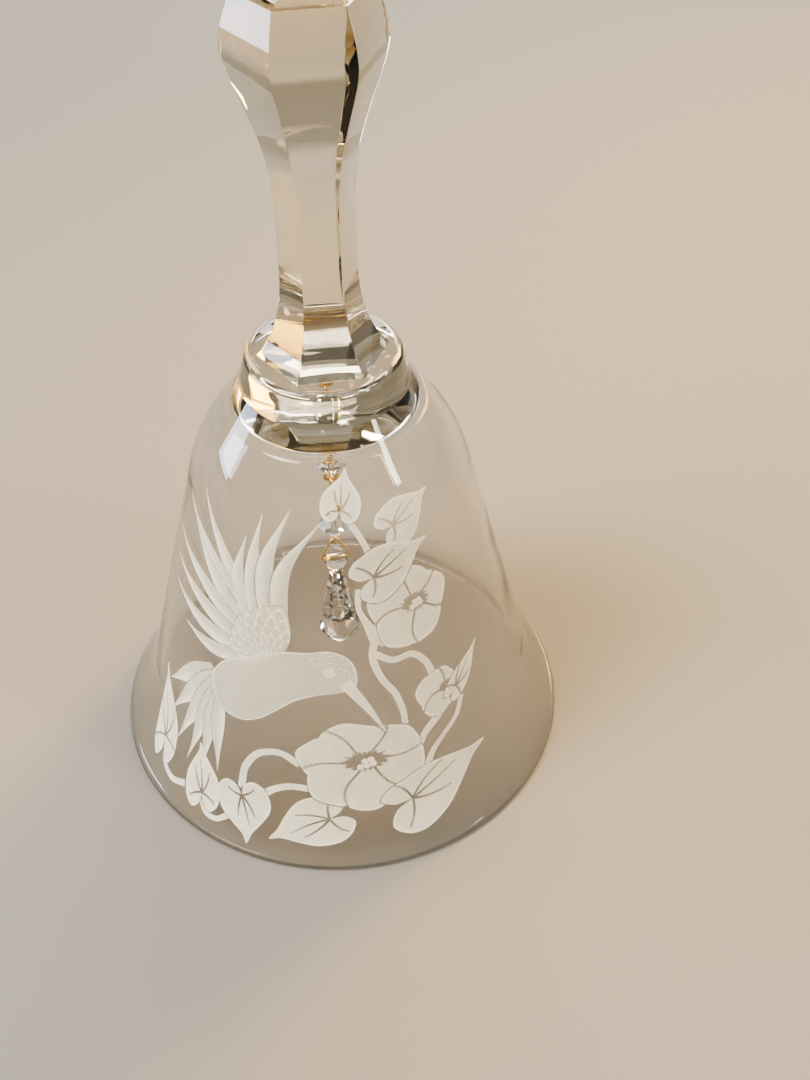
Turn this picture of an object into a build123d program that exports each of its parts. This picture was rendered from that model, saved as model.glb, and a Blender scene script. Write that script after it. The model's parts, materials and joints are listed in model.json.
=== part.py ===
from build123d import *
import math
import os

# A hand bell of cut lead crystal: a blown bowl with a flared lip, a round collar fused on its crown,
# and a six-panel handle that swells to a knob. Inside hangs a clapper on gold-plated wire: an eye
# cemented in the crown, oval links, two beads on eye pins, and a cut drop that strikes the wall.
# Millimetres, +Z up. The origin is the centre of the rim's flat foot, on which the bell stands.
# Two opposite handle panels face -Y and +Y.

# Bowl
RIM_RADIUS = 47.5  # widest point of the lip
RIM_EDGE = 0.8  # rounding of the lip's outer edge
INNER_EDGE = 0.5  # rounding of the lip's inner edge
BOWL_HEIGHT = 87.1  # from the foot to the seat of the collar
WALL = 2.0
LIP_ANGLE = 36.5  # lean of the lip from upright
FLARE_RADIUS = 48.0  # hollow curve between lip and body
SHOULDER_RADIUS = 38.0  # full curve between body and neck
NECK_ANGLE = 35.5  # lean of the neck from upright
NECK_LENGTH = 9.5
CROWN = 4.1  # glass between the seat and the top of the hollow
CEILING_RISE = 1.2  # how far the ceiling domes up
CEILING_CORNER = 3.0  # rounding between neck and ceiling

# Collar
COLLAR_RADIUS = 15.5
COLLAR_TOP_RADIUS = 14.0
COLLAR_HEIGHT = 6.2
COLLAR_EDGE = 1.6

# Handle: half-widths are from the axis to the middle of a panel
PANELS = 6
FOOT_HALF = 10.3
ANKLE_HALF = 7.3
WAIST_HALF = 5.85
THROAT_HALF = 7.1
KNOB_HALF = 11.2
ANKLE_HEIGHT = 5.7  # heights above the collar
WAIST_HEIGHT = 20.5
THROAT_HEIGHT = 39.7
KNOB_HEIGHT = 55.2
KNOB_BAND = 3.0  # upright band round the knob
KNOB_EASE = 0.35  # how far the band leans in at its top
BEVEL_HEIGHT = 5.2  # sloping panels over the band
CAP_RADIUS = 9.3
CAP_HEIGHT = 1.2
CAP_EDGE = 0.8
FOOT_SLOPE = (-1, 0.9)  # which way a panel leaves the collar, seen from the side
SIDE_PULLS = (0.8, 0.6)  # how firmly a panel keeps its direction at its foot and at the knob

# Eye and its cement
WIRE = 0.7  # diameter of all the wire
SOCKET_RADIUS = 1.5
SOCKET_DEPTH = 3.0
CEMENT_SPREAD = 2.6  # radius of the cement's skirt under the ceiling
CEMENT_SKIRT = 0.6
EYE_DROP = 2.6  # from the ceiling down to the centre of the eye
EYE_LOOP = 1.3  # loop radii are to the middle of the wire
EYE_HEAD_RADIUS = 0.8
EYE_HEAD_HEIGHT = 0.5

# Chain
LINK_GAP = 0.05  # between a piece and the wire that carries it
LINK_LENGTH = 8.2  # from wire middle to wire middle
LINK_HALF = 1.2
PIN_LOOP = 1.2
BEAD_RADIUS = 3.1
BEAD_END_RADIUS = 1.5
BEAD_HEIGHT = 4.4
BEAD_SIDES = 8
BEAD_PLAY = 0.1  # between a bead's top and the loop above it
BORE_CLEARANCE = 0.15  # round a wire, on the radius

# Clip and drop
CLIP_HALF = 3.35
CLIP_HEIGHT = 5.9  # from the pin's middle to the corner where the legs would meet
CLIP_APEX_BEND = WIRE + 2 * LINK_GAP  # bent round the wire of the loop that it hangs in
CLIP_CORNER_BEND = 0.7
DROP_SIDES = 8
BALL_RADIUS = 2.35
NECK_BELOW_HOLE = 3.2
NECK_RADIUS = 1.35
BELLY_BELOW_HOLE = 19.7
BELLY_RADIUS = 4.3
SWELL_BELOW_HOLE = 12.0
SWELL_RADIUS = 3.2
TIP_BELOW_HOLE = 24.2
TIP_RADIUS = 0.7


def along(angle):
    """Unit vector that leans inwards from upright by an angle in degrees."""
    return Vector(-math.sin(math.radians(angle)), math.cos(math.radians(angle)))


def inwards(angle):
    """Unit vector square to along(angle), pointing to the hollow side of the wall."""
    return along(angle + 90)


def turned(start, centre, angle):
    """The point reached from start by turning about centre, in degrees, anticlockwise."""
    arm = (start - centre).rotate(Axis.Z, angle)
    return centre + arm


# Where the wall's curves lie, in half-section: X is the distance from the axis and Y the height.
EDGE_CENTRE = Vector(RIM_RADIUS - RIM_EDGE, RIM_EDGE)
LIP_START = EDGE_CENTRE - inwards(LIP_ANGLE) * RIM_EDGE
FLARE_CENTRE = LIP_START - inwards(LIP_ANGLE) * FLARE_RADIUS
NECK_TOP = Vector(COLLAR_RADIUS, BOWL_HEIGHT)
NECK_START = NECK_TOP - along(NECK_ANGLE) * NECK_LENGTH
SHOULDER_CENTRE = NECK_START + inwards(NECK_ANGLE) * SHOULDER_RADIUS

# The body is the straight line that touches both curves, so its lean follows from them.
SPAN = SHOULDER_CENTRE - FLARE_CENTRE
SPAN_LEAN = math.degrees(math.atan2(-SPAN.X, SPAN.Y))
BODY_ANGLE = SPAN_LEAN - math.degrees(math.asin((FLARE_RADIUS + SHOULDER_RADIUS) / SPAN.length))
BODY_START = FLARE_CENTRE + inwards(BODY_ANGLE) * FLARE_RADIUS
BODY_END = SHOULDER_CENTRE - inwards(BODY_ANGLE) * SHOULDER_RADIUS

CEILING = BOWL_HEIGHT - CROWN
COLLAR_TOP = BOWL_HEIGHT + COLLAR_HEIGHT

# Heights down the clapper: each hanging wire lies on the one that carries it.
HANG = WIRE + LINK_GAP
EYE_CENTRE = CEILING - EYE_DROP
EYE_WIRE = EYE_CENTRE - EYE_LOOP
BORE = WIRE / 2 + BORE_CLEARANCE
LOOP_OUTSIDE = PIN_LOOP + WIRE / 2
UNDER_LOOP = LOOP_OUTSIDE + BEAD_PLAY + BEAD_HEIGHT / 2  # from the loop above a bead down to its middle
BEAD_SEAT = math.sqrt((LOOP_OUTSIDE + LINK_GAP) ** 2 - BORE**2)  # the mouth of the bore sits on the loop
OVER_LOOP = BEAD_HEIGHT / 2 + BEAD_SEAT  # from a bead's middle down to the centre of the loop below
UPPER_LINK_TOP = EYE_WIRE + HANG
UPPER_LINK_WIRE = UPPER_LINK_TOP - LINK_LENGTH
UPPER_BEAD = UPPER_LINK_WIRE + HANG - PIN_LOOP - UNDER_LOOP
UPPER_PIN_WIRE = UPPER_BEAD - OVER_LOOP - PIN_LOOP
MIDDLE_LINK_TOP = UPPER_PIN_WIRE + HANG
MIDDLE_LINK_WIRE = MIDDLE_LINK_TOP - LINK_LENGTH
LOWER_BEAD = MIDDLE_LINK_WIRE + HANG - PIN_LOOP - UNDER_LOOP
LOWER_PIN_WIRE = LOWER_BEAD - OVER_LOOP - PIN_LOOP
CLIP_LEAN = math.atan2(CLIP_HALF, CLIP_HEIGHT)
APEX_LOSS = CLIP_APEX_BEND / math.sin(CLIP_LEAN) - CLIP_APEX_BEND  # the bend stops short of the corner
HOLE = LOWER_PIN_WIRE + HANG + APEX_LOSS - CLIP_HEIGHT


def bowl():
    """Revolved wall with an even thickness from lip to neck, a domed ceiling and the eye's socket."""
    outside = [
        JernArc((EDGE_CENTRE.X, 0), (1, 0), RIM_EDGE, 90 + LIP_ANGLE),
        JernArc(LIP_START, along(LIP_ANGLE), FLARE_RADIUS, BODY_ANGLE - LIP_ANGLE),
        Line(BODY_START, BODY_END),
        JernArc(BODY_END, along(BODY_ANGLE), SHOULDER_RADIUS, NECK_ANGLE - BODY_ANGLE),
        Line(NECK_START, NECK_TOP),
        Line(NECK_TOP, (0, BOWL_HEIGHT)),
    ]
    inner_flare = FLARE_RADIUS + WALL
    lip_reach = math.sqrt(inner_flare**2 - FLARE_CENTRE.Y**2)
    lip_inside = Vector(FLARE_CENTRE.X - lip_reach, 0)
    lip_turn = math.degrees(math.asin(-FLARE_CENTRE.Y / inner_flare))
    body_in = BODY_START + inwards(BODY_ANGLE) * WALL
    shoulder_in = BODY_END + inwards(BODY_ANGLE) * WALL
    neck_in = NECK_START + inwards(NECK_ANGLE) * WALL
    corner_height = CEILING - CEILING_RISE
    corner = neck_in + along(NECK_ANGLE) * ((corner_height - neck_in.Y) / math.cos(math.radians(NECK_ANGLE)))
    dome_radius = (corner.X**2 + CEILING_RISE**2) / (2 * CEILING_RISE)
    half_dome = math.degrees(math.asin(corner.X / dome_radius))
    dome = JernArc((0, CEILING), (1, 0), dome_radius, -half_dome)
    inside = [
        Line((0, BOWL_HEIGHT), (0, CEILING)),
        dome,
        Line(dome @ 1, neck_in),
        JernArc(neck_in, -along(NECK_ANGLE), SHOULDER_RADIUS - WALL, BODY_ANGLE - NECK_ANGLE),
        Line(shoulder_in, body_in),
        JernArc(body_in, -along(BODY_ANGLE), inner_flare, -lip_turn - BODY_ANGLE),
        Line(lip_inside, (EDGE_CENTRE.X, 0)),
    ]
    section = make_face(outside + inside)
    corner_point = section.vertices().sort_by_distance((corner.X, corner.Y))[0]
    section = fillet(corner_point, CEILING_CORNER)
    lip_point = section.vertices().sort_by_distance((lip_inside.X, 0))[0]
    section = fillet(lip_point, INNER_EDGE)
    glass = revolve(Plane.XZ * section, Axis.Z)
    return glass - socket()


def socket():
    """The blind hole in the crown that holds the eye's cement, long enough to open into the hollow."""
    length = SOCKET_DEPTH + CEILING_RISE
    return Pos(0, 0, CEILING + SOCKET_DEPTH - length / 2) * Cylinder(SOCKET_RADIUS, length)


def collar():
    """Round wafer of glass that joins handle and bowl, with a rounded upper edge."""
    outline = make_face(
        Polyline(
            (0, BOWL_HEIGHT),
            (COLLAR_RADIUS, BOWL_HEIGHT),
            (COLLAR_TOP_RADIUS, COLLAR_TOP),
            (0, COLLAR_TOP),
            close=True,
        )
    )
    rim = outline.vertices().sort_by_distance((COLLAR_TOP_RADIUS, COLLAR_TOP))[0]
    return revolve(Plane.XZ * fillet(rim, COLLAR_EDGE), Axis.Z)


def panel_slab():
    """One pair of opposite panels: the handle's side view drawn once and carried square through it."""
    band = COLLAR_TOP + KNOB_HEIGHT
    side = Spline(
        (FOOT_HALF, COLLAR_TOP),
        (ANKLE_HALF, COLLAR_TOP + ANKLE_HEIGHT),
        (WAIST_HALF, COLLAR_TOP + WAIST_HEIGHT),
        (THROAT_HALF, COLLAR_TOP + THROAT_HEIGHT),
        (KNOB_HALF, band),
        tangents=(FOOT_SLOPE, (0, 1)),
        tangent_scalars=SIDE_PULLS,
    )
    bevel_start = (KNOB_HALF - KNOB_EASE, band + KNOB_BAND)
    bevel_end = (CAP_RADIUS, band + KNOB_BAND + BEVEL_HEIGHT)
    top = [Line(side @ 1, bevel_start), Line(bevel_start, bevel_end), Line(bevel_end, (0, bevel_end[1]))]
    right = make_face([side] + top + [Line((0, bevel_end[1]), (0, COLLAR_TOP)), Line((0, COLLAR_TOP), side @ 0)])
    outline = right + mirror(right, Plane.YZ)
    return extrude(Plane.XZ * outline, 2 * KNOB_HALF, both=True)


def handle():
    """Six panels, made by cutting three slabs through each other, under a round polished cap."""
    slab = panel_slab()
    stem = None
    for pair in range(PANELS // 2):
        turned_slab = Rot(0, 0, 90 + pair * 360 / PANELS) * slab
        stem = turned_slab if stem is None else stem & turned_slab
    cap_base = COLLAR_TOP + KNOB_HEIGHT + KNOB_BAND + BEVEL_HEIGHT
    cap = Pos(0, 0, cap_base + CAP_HEIGHT / 2) * Cylinder(CAP_RADIUS, CAP_HEIGHT)
    cap = fillet(cap.edges().group_by(Axis.Z)[-1], CAP_EDGE)
    return stem + cap


def wire_ring(radius, middle, square_to):
    """A closed ring of wire about a point on the axis, square to the X or the Y axis."""
    tilt = Rot(90, 0, 0) if square_to == "Y" else Rot(0, 90, 0)
    return Pos(0, 0, middle) * tilt * Torus(radius, WIRE / 2)


def wire_rod(low, high):
    """A straight upright wire on the axis."""
    return Pos(0, 0, (low + high) / 2) * Cylinder(WIRE / 2, high - low)


def hanger_eye():
    """Closed eye under the ceiling, with a headed shank that the cement grips."""
    shank_top = CEILING + SOCKET_DEPTH - EYE_HEAD_HEIGHT
    head = Pos(0, 0, shank_top) * Cylinder(EYE_HEAD_RADIUS, EYE_HEAD_HEIGHT)
    return wire_ring(EYE_LOOP, EYE_CENTRE, "Y") + wire_rod(EYE_CENTRE + EYE_LOOP, shank_top) + head


def eye_cement():
    """Cement that fills the socket round the shank and spreads in a thin skirt against the ceiling."""
    plug = Pos(0, 0, CEILING + SOCKET_DEPTH / 2) * Cylinder(SOCKET_RADIUS, SOCKET_DEPTH)
    skirt = Pos(0, 0, CEILING) * Cone(CEMENT_SPREAD / 2, CEMENT_SPREAD, 2 * CEMENT_SKIRT)
    return (plug + skirt) - bowl() - hanger_eye()


def oval_link(top, low):
    """Closed oval link in the YZ plane, between its two wire middles on the axis."""
    end = top - LINK_HALF
    start = low + LINK_HALF
    path = Wire(
        [
            Edge.make_line((LINK_HALF, start), (LINK_HALF, end)),
            Edge.make_three_point_arc((LINK_HALF, end), (0, top), (-LINK_HALF, end)),
            Edge.make_line((-LINK_HALF, end), (-LINK_HALF, start)),
            Edge.make_three_point_arc((-LINK_HALF, start), (0, low), (LINK_HALF, start)),
        ]
    )
    return swept_wire(Plane.YZ * path)


def swept_wire(path):
    """Round wire along a closed smooth path."""
    start = Plane(origin=path @ 0, z_dir=path % 0)
    return sweep(start * Circle(WIRE / 2), path=path)


def eye_pin(bead_middle, lower_square_to):
    """Straight pin through a bead, with a loop at each end; the lower loop may be turned a quarter."""
    upper_centre = bead_middle + UNDER_LOOP
    lower_centre = bead_middle - OVER_LOOP
    upper = wire_ring(PIN_LOOP, upper_centre, "Y")
    lower = wire_ring(PIN_LOOP, lower_centre, lower_square_to)
    return upper + wire_rod(lower_centre + PIN_LOOP, upper_centre - PIN_LOOP) + lower


def facets(levels, sides):
    """Flat-sided solid through regular polygons, given as (height, corner radius) from the top down."""
    rings = [Pos(0, 0, height) * RegularPolygon(radius, sides) for height, radius in levels]
    return loft(rings, ruled=True)


def bead(middle):
    """Cut bead, widest at its waist, bored through along the axis."""
    half = BEAD_HEIGHT / 2
    levels = [(middle + half, BEAD_END_RADIUS), (middle, BEAD_RADIUS), (middle - half, BEAD_END_RADIUS)]
    bore = Pos(0, 0, middle) * Cylinder(BORE, 2 * BEAD_HEIGHT)
    return facets(levels, BEAD_SIDES) - bore


def drop_clip():
    """Triangle of wire in the XZ plane: its base is the pin through the drop, and its apex hangs."""
    corner = HOLE + CLIP_HEIGHT
    path = FilletPolyline(
        (CLIP_HALF, HOLE),
        (0, corner),
        (-CLIP_HALF, HOLE),
        radius=[CLIP_CORNER_BEND, CLIP_APEX_BEND, CLIP_CORNER_BEND],
        close=True,
    )
    return swept_wire(Plane.XZ * Wire(path.edges()))


def drop():
    """Cut drop with a round head, bored across for the clip's pin."""
    levels = [
        (HOLE - NECK_BELOW_HOLE + NECK_RADIUS, NECK_RADIUS),
        (HOLE - NECK_BELOW_HOLE, NECK_RADIUS),
        (HOLE - SWELL_BELOW_HOLE, SWELL_RADIUS),
        (HOLE - BELLY_BELOW_HOLE, BELLY_RADIUS),
        (HOLE - TIP_BELOW_HOLE, TIP_RADIUS),
    ]
    head = Pos(0, 0, HOLE) * Sphere(BALL_RADIUS)
    hole = Pos(0, 0, HOLE) * Rot(0, 90, 0) * Cylinder(BORE, 3 * BALL_RADIUS)
    return facets(levels, DROP_SIDES) + head - hole


PIECES = {
    "bowl": bowl,
    "collar": collar,
    "handle": handle,
    "eye_cement": eye_cement,
    "hanger_eye": hanger_eye,
    "upper_link": lambda: oval_link(UPPER_LINK_TOP, UPPER_LINK_WIRE),
    "upper_pin": lambda: eye_pin(UPPER_BEAD, "Y"),
    "upper_bead": lambda: bead(UPPER_BEAD),
    "middle_link": lambda: oval_link(MIDDLE_LINK_TOP, MIDDLE_LINK_WIRE),
    "lower_pin": lambda: eye_pin(LOWER_BEAD, "X"),
    "lower_bead": lambda: bead(LOWER_BEAD),
    "drop_clip": drop_clip,
    "drop": drop,
}

os.makedirs("parts", exist_ok=True)
for name, make in PIECES.items():
    export_step(make(), f"parts/{name}.step")

overall = COLLAR_TOP + KNOB_HEIGHT + KNOB_BAND + BEVEL_HEIGHT + CAP_HEIGHT
print(f"overall height {overall:.1f}, ceiling {CEILING:.1f}, body leans {BODY_ANGLE:.2f} degrees")
hinges = {
    "upper_link": EYE_WIRE,
    "upper_pin": UPPER_LINK_WIRE,
    "middle_link": UPPER_PIN_WIRE,
    "lower_pin": MIDDLE_LINK_WIRE,
    "drop_clip": LOWER_PIN_WIRE,
    "drop": HOLE,
}
for name, height in hinges.items():
    print(f"{name} swings about a wire at height {height:.4f}")
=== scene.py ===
# %% [markdown]
# A crystal hand bell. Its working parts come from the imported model: the bowl, the collar and the handle,
# and the clapper's wires, beads and drop. This script gives them their finish, adds the frosted design
# on the bowl, and sets a plain stage. The first cell loads the parts and keeps the size of the model.

# %% Load the parts
import json
import math
from dataclasses import dataclass

import bpy
import numpy as np
from mathutils import Matrix, Vector

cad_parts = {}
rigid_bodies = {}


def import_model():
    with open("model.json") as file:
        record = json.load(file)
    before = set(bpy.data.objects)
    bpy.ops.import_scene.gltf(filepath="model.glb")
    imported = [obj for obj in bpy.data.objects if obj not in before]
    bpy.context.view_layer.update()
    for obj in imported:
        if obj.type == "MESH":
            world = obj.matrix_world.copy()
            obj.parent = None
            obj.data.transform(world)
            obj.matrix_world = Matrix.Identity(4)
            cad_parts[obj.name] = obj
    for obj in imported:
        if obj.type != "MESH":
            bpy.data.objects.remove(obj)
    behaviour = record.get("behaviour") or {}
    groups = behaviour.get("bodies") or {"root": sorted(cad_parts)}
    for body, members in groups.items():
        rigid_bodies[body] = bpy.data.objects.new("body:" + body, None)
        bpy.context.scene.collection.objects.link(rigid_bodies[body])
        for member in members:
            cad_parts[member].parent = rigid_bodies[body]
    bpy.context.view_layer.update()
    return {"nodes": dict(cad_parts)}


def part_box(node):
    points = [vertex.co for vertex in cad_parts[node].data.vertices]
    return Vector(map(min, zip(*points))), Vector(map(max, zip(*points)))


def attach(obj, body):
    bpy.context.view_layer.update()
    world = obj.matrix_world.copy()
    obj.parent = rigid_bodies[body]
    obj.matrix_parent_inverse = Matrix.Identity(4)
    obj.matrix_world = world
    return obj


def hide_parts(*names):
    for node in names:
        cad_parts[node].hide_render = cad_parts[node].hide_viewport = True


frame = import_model()
MM = 0.001
print("parts:", ", ".join(sorted(frame["nodes"])))

# %% [markdown]
# Everything below is drawn in millimetres and turned to metres at the last moment, because a glass cutter
# thinks in millimetres. Most sizes are read from the loaded parts. What a box can't tell, such as the
# curves of the wall, is named here once.

# %% Sizes read from the parts
def span(node):
    """Lowest and highest corner of a part, in millimetres."""
    low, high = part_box(node)
    return np.array(low) / MM, np.array(high) / MM


RIM_RADIUS = span("bowl")[1][0]
CROWN_TOP = span("bowl")[1][2]
COLLAR_RADIUS = span("collar")[1][0]
COLLAR_TOP = span("collar")[1][2]
HANDLE_TOP = span("handle")[1][2]
print(f"rim {RIM_RADIUS:.1f}, crown {CROWN_TOP:.1f}, collar {COLLAR_TOP:.1f}, handle {HANDLE_TOP:.1f} mm")

# %% [markdown]
# A smooth line through a few points is needed again and again: for the handle's side, for stems, for the
# width of a feather. Hermite cubics do it. Each point's slope is the mean slope of its neighbours, so the
# line passes through every point and has no kinks.

# %% A smooth line through points
def smooth(knots_at, knots, at):
    """Values at the places `at` of the cubic through the knots, with slopes from their neighbours."""
    knots_at, knots, at = (np.asarray(v, float) for v in (knots_at, knots, at))
    slopes = np.gradient(knots, knots_at, axis=0)
    k = np.clip(np.searchsorted(knots_at, at, side="right") - 1, 0, len(knots_at) - 2)
    step = knots_at[k + 1] - knots_at[k]
    t = (at - knots_at[k]) / step
    if knots.ndim > 1:
        t, step = t[:, None], step[:, None]
    start = knots[k] * (2 * t**3 - 3 * t**2 + 1) + slopes[k] * step * (t**3 - 2 * t**2 + t)
    end = knots[k + 1] * (3 * t**2 - 2 * t**3) + slopes[k + 1] * step * (t**3 - t**2)
    return start + end


def curve_through(points, count):
    """`count` points along the smooth line through a few points, spaced by the length between them."""
    points = np.asarray(points, float)
    lengths = np.concatenate([[0], np.cumsum(np.linalg.norm(np.diff(points, axis=0), axis=1))])
    return smooth(lengths, points, np.linspace(0, lengths[-1], count))


# %% [markdown]
# Glass pieces are closed skins. A skin here is a stack of rings: a grid of points whose columns run round
# the ring and whose rows run from one end to the other. The ends are closed with a fan of triangles, so
# that light always finds a way in and out of the glass. The volume's sign tells whether the faces point
# outwards, and they are turned over if not.

# %% Closed skins
def closed(rings, loop):
    """Points, four-sided faces and end fans of one stack of rings, (rows, columns, 3), facing outwards."""
    rows, columns = rings.shape[:2]
    index = np.arange(rows * columns).reshape(rows, columns)
    below = index if loop else index[:-1]
    above = np.roll(index, -1, axis=0) if loop else index[1:]
    quads = np.stack([below, np.roll(below, -1, 1), np.roll(above, -1, 1), above], -1).reshape(-1, 4)
    points, fans = rings.reshape(-1, 3), np.zeros((0, 3), int)
    if not loop:
        points = np.concatenate([points, [rings[0].mean(0), rings[-1].mean(0)]])
        low_fan = np.stack([np.roll(index[0], -1), index[0], np.full(columns, rows * columns)], -1)
        high_fan = np.stack([index[-1], np.roll(index[-1], -1), np.full(columns, rows * columns + 1)], -1)
        fans = np.concatenate([low_fan, high_fan])
    triangles = np.concatenate([quads[:, [0, 1, 2]], quads[:, [0, 2, 3]], fans])
    a, b, c = ((points - points[0])[triangles[:, i]] for i in range(3))
    if np.einsum("ij,ij->", a, np.cross(b, c)) < 0:
        quads, fans = quads[:, ::-1], fans[:, ::-1]
    return points, quads, fans


def skin(name, stacks, body, material, replaces=(), loop=False, sharp=30, values=None):
    """One piece from stacks of rings in mm. With loop, a stack's last ring joins its first, as in a link."""
    points, faces, start = [], [], 0
    for rings in stacks:
        own_points, quads, fans = closed(rings, loop)
        points.append(own_points)
        faces += (quads + start).tolist() + (fans + start).tolist()
        start += len(own_points)
    mesh = bpy.data.meshes.new(name)
    mesh.from_pydata((np.concatenate(points) * MM).tolist(), [], faces)
    mesh.shade_smooth()
    mesh.set_sharp_from_angle(angle=math.radians(sharp))
    if values is not None:
        with_ends = [np.concatenate([v.ravel(), [v[0].mean(), v[-1].mean()]]) for v in values]
        frost = mesh.attributes.new("frost", "FLOAT", "POINT")
        frost.data.foreach_set("value", np.concatenate(with_ends).astype(np.float32))
    piece = bpy.data.objects.new(name, mesh)
    bpy.context.scene.collection.objects.link(piece)
    mesh.materials.append(material)
    if replaces:
        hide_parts(*replaces)
    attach(piece, body)
    return piece


def turned(outline, steps):
    """Rings from an outline of (radius, height) rows, turned once round the upright axis."""
    angle = np.linspace(0, 2 * math.pi, steps, endpoint=False)
    radius, height = outline[:, :1], outline[:, 1:]
    return np.stack([radius * np.cos(angle), radius * np.sin(angle), height + 0 * angle], -1)


# %% [markdown]
# Materials are built from the Principled shader. One helper turns a colour picked on a screen (sRGB) into
# the linear values that light adds up in, and one adds a node with its settings and links.

# %% Material helpers
def colour(hex_code):
    """Linear RGBA of an sRGB hex code."""
    srgb = np.array([int(hex_code[i : i + 2], 16) / 255 for i in (1, 3, 5)])
    linear = np.where(srgb <= 0.04045, srgb / 12.92, ((srgb + 0.055) / 1.055) ** 2.4)
    return (*linear.tolist(), 1.0)


def new_material(name):
    """An empty material with its Principled shader wired to the output, as (material, tree, shader)."""
    material = bpy.data.materials.new(name)
    material.use_nodes = True
    tree = material.node_tree
    return material, tree, tree.nodes["Principled BSDF"]


def add(tree, kind, links=None, settings=None, **values):
    """Adds a node: `values` are its own settings, `settings` its sockets' values, `links` their sources."""
    node = tree.nodes.new(kind)
    for key, value in values.items():
        setattr(node, key, value)
    for key, value in (settings or {}).items():
        node.inputs[key].default_value = value
    for key, source in (links or {}).items():
        tree.links.new(source, node.inputs[key])
    return node


def grain(tree, size_mm, **settings):
    """Soft noise, fixed to the object, with spots of about a given size; returns its value."""
    place = add(tree, "ShaderNodeTexCoord").outputs["Object"]
    settings["Scale"] = 1 / (size_mm * MM)
    return add(tree, "ShaderNodeTexNoise", links={"Vector": place}, settings=settings).outputs["Fac"]


def emboss(tree, shader, height, depth_mm, strength=1.0):
    """Makes a shader's face rise and fall with a value, as far as a given depth."""
    settings = {"Strength": strength, "Distance": depth_mm * MM}
    relief = add(tree, "ShaderNodeBump", links={"Height": height}, settings=settings)
    tree.links.new(relief.outputs["Normal"], shader.inputs["Normal"])


# %% [markdown]
# The bowl and the handle are lead crystal: a soft, heavy, very clear glass that bends light more than
# window glass does, about 1.55. The bowl was blown and fire-polished, which leaves slow ripples some
# 20 mm across and about a tenth of a millimetre deep. They make what is seen through the wall swim a
# little. The handle was cut and acid-polished, so its faces are smooth but very slightly waved. No glass
# is quite colourless, and the tint shows only with depth: the bowl's edges turn grey, where the eye looks
# along the wall, and the thick handle turns honey. A tinted surface would colour thin and thick glass
# alike, so the surface stays white and the tint is an absorption in the volume.

# %% Crystal
CRYSTAL_IOR = 1.55


def crystal(name, depth_tint, density, ripple_mm, ripple_depth_mm):
    """Clear lead crystal: its own colour shows with depth, and its face has slow ripples of a given size."""
    material, tree, shader = new_material(name)
    shader.inputs["Base Color"].default_value = colour("#FFFFFF")
    shader.inputs["Transmission Weight"].default_value = 1.0
    shader.inputs["IOR"].default_value = CRYSTAL_IOR
    shader.inputs["Roughness"].default_value = 0.0
    tint = {"Color": colour(depth_tint), "Density": density}
    depth = add(tree, "ShaderNodeVolumeAbsorption", settings=tint)
    tree.links.new(depth.outputs["Volume"], tree.nodes["Material Output"].inputs["Volume"])
    emboss(tree, shader, grain(tree, ripple_mm, Detail=1.0, Roughness=0.4), ripple_depth_mm)
    return material


BLOWN_CRYSTAL = crystal("blown_lead_crystal", "#C9C6BC", 75, ripple_mm=20, ripple_depth_mm=0.12)
POLISHED_CRYSTAL = crystal("acid_polished_cut_crystal", "#EFE1BE", 45, ripple_mm=5, ripple_depth_mm=0.06)
BEAD_CRYSTAL = crystal("machine_cut_bead_crystal", "#E4E4E4", 20, ripple_mm=3, ripple_depth_mm=0.002)
print("crystals:", BLOWN_CRYSTAL.name, POLISHED_CRYSTAL.name, BEAD_CRYSTAL.name)

# %% [markdown]
# The wires are brass with a thin gold plate, drawn through a die and bent. Plate is a little uneven, so its
# roughness varies with spots about 0.5 mm across. A metal keeps the shader's usual IOR.

# %% Gold-plated wire
PLATE_SPOT = 0.5  # mm
GOLD_PLATE, tree, shader = new_material("gold_plated_brass_wire")
shader.inputs["Metallic"].default_value = 1.0
shader.inputs["Base Color"].default_value = colour("#EFCF8C")
sheen = add(
    tree,
    "ShaderNodeMapRange",
    links={"Value": grain(tree, PLATE_SPOT)},
    settings={"To Min": 0.12, "To Max": 0.34},
)
tree.links.new(sheen.outputs["Result"], shader.inputs["Roughness"])
print("wire:", GOLD_PLATE.name)

# %% [markdown]
# Cement for glass is a milky epoxy. It lets some light in and scatters it, and fine bubbles and filler make
# it cloudy at about a third of a millimetre.

# %% Cement
CLOUD = 0.33  # mm
CEMENT, tree, shader = new_material("milky_epoxy_cement")
shader.inputs["Roughness"].default_value = 0.45
shader.inputs["Subsurface Weight"].default_value = 0.4
shader.inputs["Subsurface Radius"].default_value = (0.001, 0.0009, 0.0007)
shades = add(tree, "ShaderNodeValToRGB", links={"Fac": grain(tree, CLOUD)})
shades.color_ramp.elements[0].color = colour("#CFC8B8")
shades.color_ramp.elements[1].color = colour("#EDE8DC")
tree.links.new(shades.outputs["Color"], shader.inputs["Base Color"])
print("cement:", CEMENT.name)

# %% [markdown]
# The bowl's wall in half-section is a lip that flares, a straight body and a full shoulder. It could be
# drawn freehand through a few points, but a blown wall has clean bends, and glass shows every wobble. So
# each stretch is an arc or a straight line that starts where the last one ended and leans as it did. The
# wall is 2 mm thick, so the inside is the same line moved inwards, under a shallow dome.

# %% The wall's outline
TURN_STEPS = 240  # how many points go round the bowl and the collar
WALL = 2.0  # mm, like every length here
RIM_EDGE = 0.8  # rounding of the lip's outer edge
INNER_EDGE = 0.5
LIP_ANGLE = 36.5  # lean from upright, in degrees, as for the neck
NECK_ANGLE = 35.5
FLARE_RADIUS = 48.0
SHOULDER_RADIUS = 38.0
NECK_LENGTH = 9.5
CROWN = 4.1
CEILING_RISE = 1.2
CEILING_CORNER = 3.0
SOCKET_RADIUS = 1.5
SOCKET_DEPTH = 3.0


def along(angle):
    """Unit step up the wall where it leans inwards by an angle in degrees."""
    return np.array([-math.sin(math.radians(angle)), math.cos(math.radians(angle))])


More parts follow.
